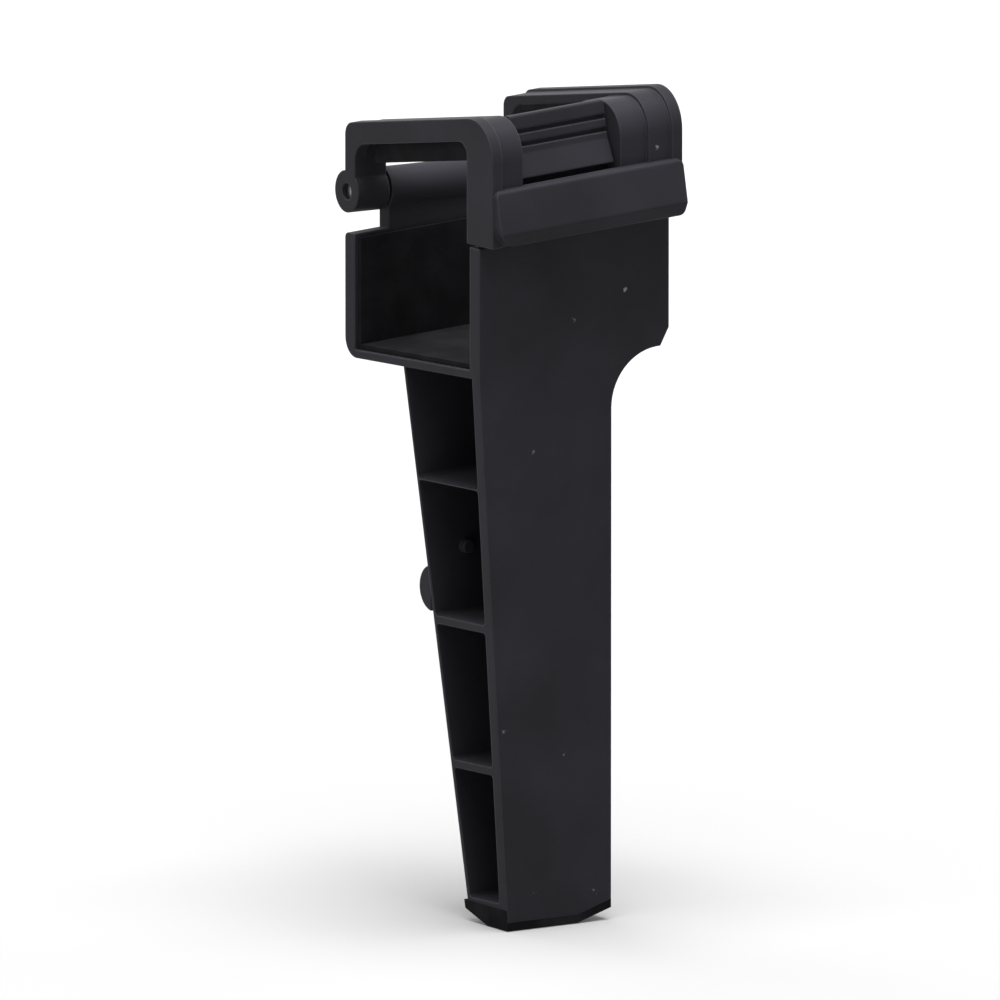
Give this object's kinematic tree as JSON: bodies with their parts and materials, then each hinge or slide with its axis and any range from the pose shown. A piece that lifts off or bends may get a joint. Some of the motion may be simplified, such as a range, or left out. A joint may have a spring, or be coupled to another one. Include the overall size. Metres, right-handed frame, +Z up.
{
  "type": "drone landing gear",
  "caption": "Black ribbed landing leg that clips onto a drone's arm, with a rubber-lined collar, a hinged snap clasp with a finger lip, and a rubber foot.",
  "frame": {"origin": "middle of the collar's passage for the clamped arm", "axes": "+Z up, +X inboard along the arm, -Y the smooth front; the passage climbs 4 degrees inboard, its floor leans 2.5 and its top 8.6 degrees down to the back"},
  "size_m": [0.0168, 0.0226, 0.0625],
  "materials": {
    "black_nylon": "fine satin grain",
    "pin_steel": "plain drawn",
    "liner_rubber": "matt",
    "foot_rubber": "matt"
  },
  "bodies": {
    "leg": {"leg_body": "black_nylon", "hinge_pin": "pin_steel", "front_liner": "liner_rubber", "rear_liner": "liner_rubber", "cradle_liner": "liner_rubber", "rubber_foot": "foot_rubber"},
    "clasp": {"clasp_gate": "black_nylon", "outer_strap_liner": "liner_rubber", "inner_strap_liner": "liner_rubber"}
  },
  "joints": [
    {"name": "clasp_hinge", "type": "hinge", "parent": "leg", "child": "clasp", "pos_m": [0, 0.009, 0.0033], "axis": [-1, 0, 0], "range_deg": [0, 110]}
  ]
}
